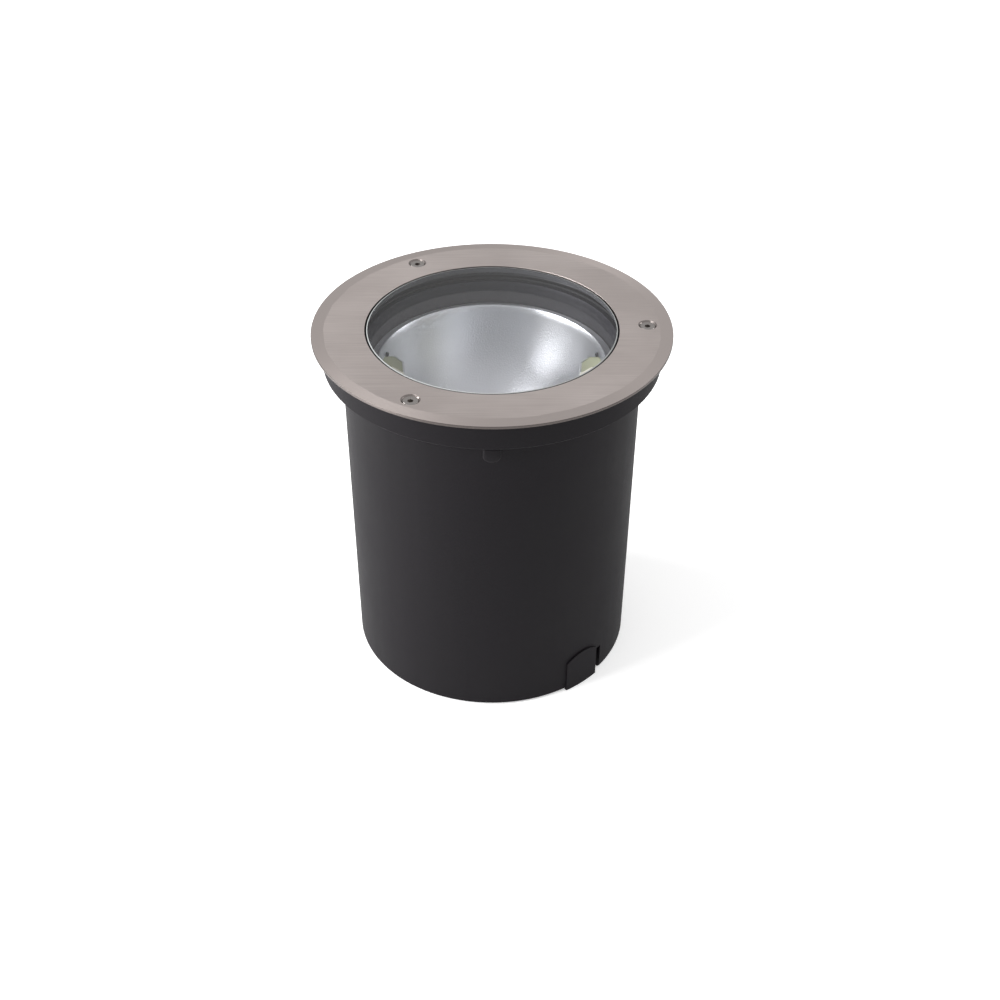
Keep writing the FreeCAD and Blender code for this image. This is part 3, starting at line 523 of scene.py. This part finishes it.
plate_half, plate_low, plate_high = 33.0, 137.0, 184.0
holder_half, holder_top = 22.3, 170.3
play, tolerance = 0.3, 0.01
across = spread((-plate_half, 7), (-holder_half, 24), (holder_half, 7), (plate_half, 0))
up = spread((plate_low, 18), (holder_top, 9), (plate_high, 0))
for side, name in ((1, "right_window_backing"), (-1, "left_window_backing")):
    plate = bmesh.new()
    grid = []
    for height in up:
        fall = (bowl_rim - sheet - height) / bowl_depth
        radius = (bowl_radius + sheet + play) * math.sqrt(1 - fall * fall)
        grid.append([plate.verts.new((side * math.sqrt(radius ** 2 - y * y) * mm,
                                      y * mm, height * mm)) for y in across])
    for row, (lower, upper) in enumerate(zip(grid, grid[1:])):
        for column in range(len(across) - 1):
            at_holder = -holder_half - tolerance < across[column] < holder_half - tolerance
            if up[row] < holder_top - tolerance and at_holder:
                continue
            plate.faces.new([lower[column], lower[column + 1],
                             upper[column + 1], upper[column]])
    loose = [v for v in plate.verts if not v.link_faces]
    bmesh.ops.delete(plate, geom=loose, context="VERTS")
    backing = placed(plate, name)
    thickened = backing.modifiers.new("sheet", "SOLIDIFY")
    thickened.thickness = sheet * mm
    thickened.offset = 0.0
    settled(backing, name, "luminaire", enamel)


# ---- Reflector rivets ---------------------------------------------------
# Aluminium blind rivets, one at each upper corner of both windows, that hold the
# bowl to the backings. Their dark dots from above are painted shade: the whole rivet
# is coloured dark for the shade in its hollow stem.
def ring_tree(name, finish):
    """Geometry nodes that stand copies of the mesh round the light's axis, facing out."""
    tree = bpy.data.node_groups.new(name, "GeometryNodeTree")
    tree.interface.new_socket("Geometry", in_out="INPUT", socket_type="NodeSocketGeometry")
    for title, kind in [("Count", "Int"), ("Radius", "Float"), ("Height", "Float"),
                        ("First angle", "Float"), ("Own turn", "Float"), ("Seed", "Int")]:
        tree.interface.new_socket(title, in_out="INPUT", socket_type="NodeSocket" + kind)
    tree.interface.new_socket("Geometry", in_out="OUTPUT", socket_type="NodeSocketGeometry")
    given = node(tree, "NodeGroupInput").outputs
    index = node(tree, "GeometryNodeInputIndex").outputs[0]
    share = node(tree, "ShaderNodeMath", {0: index, 1: given["Count"]},
                 operation="DIVIDE").outputs[0]
    angle = node(tree, "ShaderNodeMath", {0: share, 1: 2 * math.pi, 2: given["First angle"]},
                 operation="MULTIPLY_ADD").outputs[0]
    cosine = node(tree, "ShaderNodeMath", {0: angle}, operation="COSINE").outputs[0]
    sine = node(tree, "ShaderNodeMath", {0: angle}, operation="SINE").outputs[0]
    x = node(tree, "ShaderNodeMath", {0: cosine, 1: given["Radius"]},
             operation="MULTIPLY").outputs[0]
    y = node(tree, "ShaderNodeMath", {0: sine, 1: given["Radius"]},
             operation="MULTIPLY").outputs[0]
    spot = node(tree, "ShaderNodeCombineXYZ", {"X": x, "Y": y, "Z": given["Height"]}).outputs[0]
    points = node(tree, "GeometryNodePoints", {
        "Count": given["Count"], "Position": spot}).outputs[0]
    where = node(tree, "GeometryNodeInputPosition").outputs[0]
    outwards = node(tree, "ShaderNodeVectorMath", {0: where, 1: (1, 1, 0)},
                    operation="MULTIPLY").outputs[0]
    facing = node(tree, "FunctionNodeAlignRotationToVector", {"Vector": outwards},
                  axis="X", pivot_axis="Z").outputs[0]
    copies = node(tree, "GeometryNodeInstanceOnPoints", {
        "Points": points, "Instance": given["Geometry"], "Rotation": facing}).outputs[0]
    chance = node(tree, "FunctionNodeRandomValue", {"Seed": given["Seed"]},
                  data_type="FLOAT").outputs[1]
    own_angle = node(tree, "ShaderNodeMath", {0: chance, 1: given["Own turn"]},
                     operation="MULTIPLY").outputs[0]
    own_turn = node(tree, "ShaderNodeCombineXYZ", {"Z": own_angle}).outputs[0]
    turned_copies = node(tree, "GeometryNodeRotateInstances", {
        "Instances": copies, "Rotation": own_turn}).outputs[0]
    real = node(tree, "GeometryNodeRealizeInstances", {"Geometry": turned_copies}).outputs[0]
    painted = node(tree, "GeometryNodeSetMaterial", {
        "Geometry": real, "Material": finish}).outputs[0]
    node(tree, "NodeGroupOutput", {"Geometry": painted})
    return tree


def ringed(piece, tree, count, radius, height, first_angle, own_turn=0.0, seed=1):
    """Gives the piece the ring of copies. Lengths are in millimetres, angles in degrees."""
    modifier = piece.modifiers.new("ring", "NODES")
    modifier.node_group = tree
    given = {"Count": count, "Radius": radius * mm, "Height": height * mm, "Seed": seed,
             "First angle": math.radians(first_angle), "Own turn": math.radians(own_turn)}
    for socket in tree.interface.items_tree:
        if socket.in_out == "INPUT" and socket.name in given:
            modifier[socket.identifier] = given[socket.name]


# Soft aluminium, coloured dark grey as painted shade for the hollow of its stem, with
# 1.1 mm pull marks.
rivet_alloy_painted_shade, tree, sockets = material("aluminium_rivet_painted_shade", "#3A3B3D", 0.5, 1.0)
place = node(tree, "ShaderNodeTexCoord").outputs["Object"]
pull_marks = node(tree, "ShaderNodeTexNoise", {
    "Vector": place, "Scale": 0.9 / mm}).outputs["Fac"]
node(tree, "ShaderNodeMapRange", {"Value": pull_marks, "To Min": 0.32, "To Max": 0.55},
     {"Result": sockets["Roughness"]})

rivet_outline = [(0, 0.1), (0.55, 0.1), (0.6, 1.1), (1.0, 1.15), (1.3, 0.7), (1.4, 0.0),
                 (1.0, -2.0), (0, -2.0)]
rivet_circle, rivet_height, rivet_aside = 63.0, 181.0, 17.5
rivet_angle = math.degrees(math.asin(rivet_aside / rivet_circle))
into_bowl = Matrix.Rotation(-math.pi / 2, 4, "Y")
rivet_ring = ring_tree("rivets_round_the_bowl", rivet_alloy_painted_shade)
for name, angle in [("reflector_rivets_a", rivet_angle), ("reflector_rivets_b", -rivet_angle)]:
    rivets = placed(turned(rivet_outline, 20), name, into_bowl)
    ringed(rivets, rivet_ring, count=2, radius=rivet_circle, height=rivet_height,
           first_angle=angle)
    settled(rivets, name, "luminaire", rivet_alloy_painted_shade)


# ---- Collar lugs --------------------------------------------------------
# Four round-ended lugs moulded under the pot's collar, one at each quarter. They
# carry the pot's own ribs out to the collar's edge.
lug_half, lug_reach, lug_low, lug_top, lug_round, lug_circle = 4.75, 4.8, 181.9, 191.2, 3.6, 87.8
lug_outline = [(-lug_half, lug_top)]
for step in range(13):
    angle = math.pi * (1 + step / 12)
    lug_outline.append((lug_half * math.cos(angle),
                        lug_low + lug_round + lug_round * math.sin(angle)))
lug_outline.append((lug_half, lug_top))
lug = bmesh.new()
extruded(lug, lug_outline, -lug_reach, lug_reach)
lugs = placed(lug, "collar_lugs")
rounding = lugs.modifiers.new("rounding", "BEVEL")
rounding.width = 1.5 * mm
rounding.segments = 3
rounding.angle_limit = math.radians(40)
ringed(lugs, ring_tree("lugs_round_the_collar", black_moulding), count=4, radius=lug_circle,
       height=0.0, first_angle=0.0)
settled(lugs, "collar_lugs", "pot", black_moulding)


# ---- Glass gasket -------------------------------------------------------
# U-section ring of black silicone, pressed round the glass's flange and held
# between the trim ring and the housing's seat.
softened("glass_gasket", "glass_seal_ring", "cover", 0.4, silicone)


# ---- Glass lens ---------------------------------------------------------
# Toughened soda-lime glass, pressed with a stepped rim so that it sits flush in
# the ring. Its faces are polished and its edge is ground.
# The pane is clear, lets light straight through and mirrors more at low angles.
glass, tree, sockets = material("toughened_soda_lime_glass", "#FFFFFF", 0.03, 1.0)
grazing = node(tree, "ShaderNodeLayerWeight", {"Blend": 0.5}).outputs["Facing"]
steep = node(tree, "ShaderNodeMath", {0: grazing, 1: 5.0}, operation="POWER").outputs[0]
mirrored = node(tree, "ShaderNodeMapRange", {
    "Value": steep, "To Min": 0.035, "To Max": 1.0}).outputs["Result"]
clear = node(tree, "ShaderNodeBsdfTransparent", {"Color": linear("#FDFDFE")}).outputs["BSDF"]
gloss = tree.nodes["Principled BSDF"].outputs["BSDF"]
node(tree, "ShaderNodeMixShader", {0: mirrored, 1: clear, 2: gloss},
     {0: tree.nodes["Material Output"].inputs["Surface"]})
pane_radius, glass_flange, glass_low, glass_step, glass_top = 69.6, 77.0, 201.0, 206.0, 209.8
glass_easing, arris_height = 0.7, 0.12
glass_outline = [(0, glass_low), (glass_flange, glass_low), (glass_flange, glass_step),
                 (pane_radius, glass_step), (pane_radius, glass_top), (0, glass_top)]
lens = settled(placed(turned(eased(glass_outline, glass_easing), 160), "toughened_glass_disc"),
               "toughened_glass_disc", "cover", glass, ["glass_lens"])

# The ground edge is dull, and coloured dark grey as painted shade: the dark band round
# the pane stands for the shade of the gap under the ring. Its grain is 0.1 mm and is
# drawn at 1.1 mm to show.
ground_edge_painted_shade, tree, sockets = material("ground_glass_edge_painted_shade", "#3C3D40", 0.45)
place = node(tree, "ShaderNodeTexCoord").outputs["Object"]
grinding = node(tree, "ShaderNodeTexNoise", {
    "Vector": place, "Scale": 0.9 / mm, "Detail": 3.0}).outputs["Fac"]
node(tree, "ShaderNodeMix", {"Factor": grinding, "A": linear("#343538"), "B": linear("#46474B")},
     {"Result": sockets["Base Color"]}, data_type="RGBA")
lens.data.materials.append(ground_edge_painted_shade)

# Its upper arris is seamed finer, drawn at 0.7 mm, and catches the light as a thin
# line.
arris, tree, sockets = material("seamed_glass_arris", "#A3A6A5", 0.3)
place = node(tree, "ShaderNodeTexCoord").outputs["Object"]
seaming = node(tree, "ShaderNodeTexNoise", {"Vector": place, "Scale": 1.4 / mm}).outputs["Fac"]
node(tree, "ShaderNodeMapRange", {"Value": seaming, "To Min": 0.22, "To Max": 0.42},
     {"Result": sockets["Roughness"]})
lens.data.materials.append(arris)
# Faces round the pane's rim take the painted-shade edge colour, the top ones the arris.
for face in lens.data.polygons:
    if face.center.xy.length > (pane_radius - glass_easing + 0.05) * mm:
        face.material_index = 2 if face.center.z > (glass_top - arris_height) * mm else 1


# ---- Trim ring ----------------------------------------------------------
# Stainless steel plate, 3 mm thick, cut to a ring, with a faint fall to its rim
# and three countersinks. It is the only part left showing in the ground.

# Brushing is 0.1 mm fine and is drawn at 0.8 mm to show, in strokes of 40 mm along
# X, with a slow change of tone over 55 mm.
brushed_steel, tree, sockets = material("brushed_stainless_steel", "#ADA6A2", 0.34, 1.0,
                                        Anisotropic=0.35)
place = node(tree, "ShaderNodeTexCoord").outputs["Object"]
along_x = node(tree, "ShaderNodeMapping", {
    "Vector": place, "Scale": (0.024 / mm, 1.3 / mm, 1.3 / mm)}).outputs["Vector"]
brushing = node(tree, "ShaderNodeTexNoise", {
    "Vector": along_x, "Scale": 1.0, "Detail": 4.0, "Roughness": 0.6}).outputs["Fac"]
slow = node(tree, "ShaderNodeTexNoise", {
    "Vector": place, "Scale": 0.018 / mm, "Detail": 3.0}).outputs["Fac"]
both = node(tree, "ShaderNodeMath", {0: brushing, 1: slow}, operation="MULTIPLY").outputs[0]
strokes = node(tree, "ShaderNodeMapRange", {
    "Value": both, "From Min": 0.06, "From Max": 0.46}).outputs["Result"]
node(tree, "ShaderNodeMix", {"Factor": strokes, "A": linear("#B9AFAB"), "B": linear("#D9CFCB")},
     {"Result": sockets["Base Color"]}, data_type="RGBA")
node(tree, "ShaderNodeMapRange", {"Value": brushing, "To Min": 0.28, "To Max": 0.46},
     {"Result": sockets["Roughness"]})
node(tree, "ShaderNodeBump", {"Height": brushing, "Strength": 0.08, "Distance": 0.1 * mm},
     {"Normal": sockets["Normal"]})
trim = softened("trim_ring", "brushed_trim_ring", "cover", 0.22,
                brushed_steel, from_angle=2.5)

# The rim is turned after the brushing, so its grooves run round it and fan the
# light across, which makes it bright on the side of the lamps. The outer edge is
# left as it is cut, dull, with its marks round it too; its dark grey colour is painted
# shade. The countersinks are drilled, with a tight gloss that is bright on one side
# and dark on the other; their darker grey colour is painted shade in the recess.
# Tool marks are 0.1 mm and are drawn at 1.4 mm on the rim and 1 mm elsewhere.
for title, colour, smooth, rough, grooved, marks_per_mm in [
        ("turned_stainless_rim", "#C2B8B4", 0.3, 0.42, 0.75, 0.7),
        ("sheared_edge_painted_shade", "#5E5856", 0.36, 0.5, 0.8, 1.0),
        ("drilled_countersink_painted_shade", "#8F8784", 0.18, 0.3, 0.0, 1.0)]:
    cut_steel, tree, sockets = material(title, colour, rough, 1.0, Anisotropic=grooved)
    if grooved:
        sockets["Anisotropic Rotation"].default_value = 0.25
        node(tree, "ShaderNodeTangent", into={"Tangent": sockets["Tangent"]},
             direction_type="RADIAL", axis="Z")
    place = node(tree, "ShaderNodeTexCoord").outputs["Object"]
    tool_marks = node(tree, "ShaderNodeTexNoise", {
        "Vector": place, "Scale": marks_per_mm / mm, "Detail": 3.0}).outputs["Fac"]
    node(tree, "ShaderNodeMapRange", {"Value": tool_marks, "To Min": smooth, "To Max": rough},
         {"Result": sockets["Roughness"]})
    trim.data.materials.append(cut_steel)

rim_start, edge_start, screw_circle, countersink, facing_up = 93.0, 97.0, 86.2, 5.3, 0.97
brushed, rim, edge, countersink_painted_shade = range(4)
for face in trim.data.polygons:
    out = face.center.xy.length / mm
    if face.normal.z > facing_up:
        face.material_index = rim if out > rim_start else brushed
    # The cut edge's dark grey colour is painted shade.
    elif out > edge_start:
        face.material_index = edge
    # The countersinks' darker grey colour is painted shade in their recess.
    elif abs(out - screw_circle) < countersink:
        face.material_index = countersink_painted_shade


# ---- Ring screws --------------------------------------------------------
# Three M5 countersunk screws with hexagon sockets, in plain stainless steel,
# sunk a little below the ring's face. They hold the glass down on its gasket.
# Cold forming leaves the steel grey and bright, with 1.1 mm press marks.
screw_steel, tree, sockets = material("cold_formed_stainless_screw", "#A39E9B", 0.28, 1.0)
place = node(tree, "ShaderNodeTexCoord").outputs["Object"]
press_marks = node(tree, "ShaderNodeTexNoise", {
    "Vector": place, "Scale": 0.9 / mm, "Detail": 3.0}).outputs["Fac"]
node(tree, "ShaderNodeMapRange", {"Value": press_marks, "To Min": 0.2, "To Max": 0.4},
     {"Result": sockets["Roughness"]})

thread_crest, thread_root, pitch, turns_of_thread = 2.5, 2.05, 0.8, 10
screw_outline = [(0, -11.5), (1.9, -11.5), (2.4, -11.0)]
for step in range(turns_of_thread):
    crest = -10.8 + pitch * step
    screw_outline += [(thread_crest, crest), (thread_root, crest + pitch / 2)]
head_radius = 4.2
screw_outline += [(thread_crest, -2.6), (head_radius - 0.2, -1.05), (head_radius, -0.8),
                  (head_radius, -0.14), (head_radius - 0.14, 0.0)]
screw = turned(screw_outline, 36)

# The hexagon socket, made ring by ring down from the head's rim: a round mouth, a
# chamfer into the hexagon, its floor and the drill's point.
head_rim = [v for v in screw.verts if abs(v.co.z) < 0.0001 * mm]
head_rim.sort(key=lambda v: math.atan2(v.co.y, v.co.x))
socket_corner, socket_depth, sixth = 1.73, 2.0, math.pi / 3
previous = head_rim
for radius, height, hexagonal in [(1.95, 0.0, False), (socket_corner, -0.16, True),
                                  (socket_corner, -socket_depth, True),
                                  (0.3, -socket_depth - 0.5, False)]:
    ring = []
    for v in head_rim:
        angle = math.atan2(v.co.y, v.co.x)
        reach = radius
        if hexagonal:
            from_flat = (angle + sixth / 2) % sixth - sixth / 2
            reach = radius * math.cos(sixth / 2) / math.cos(from_flat)
        ring.append(screw.verts.new((reach * mm * math.cos(angle),
                                     reach * mm * math.sin(angle), height * mm)))
    for step in range(len(ring)):
        screw.faces.new([previous[step - 1], previous[step], ring[step], ring[step - 1]])
    previous = ring
screw.faces.new(previous)
screws = placed(screw, "socket_screws")
head_height, first_screw = 209.4, 1.0
ringed(screws, ring_tree("screws_round_the_ring", screw_steel), count=3, radius=screw_circle,
       height=head_height, first_angle=first_screw, own_turn=60.0, seed=4)
settled(screws, "socket_screws", "cover", screw_steel, ["ring_screws"])
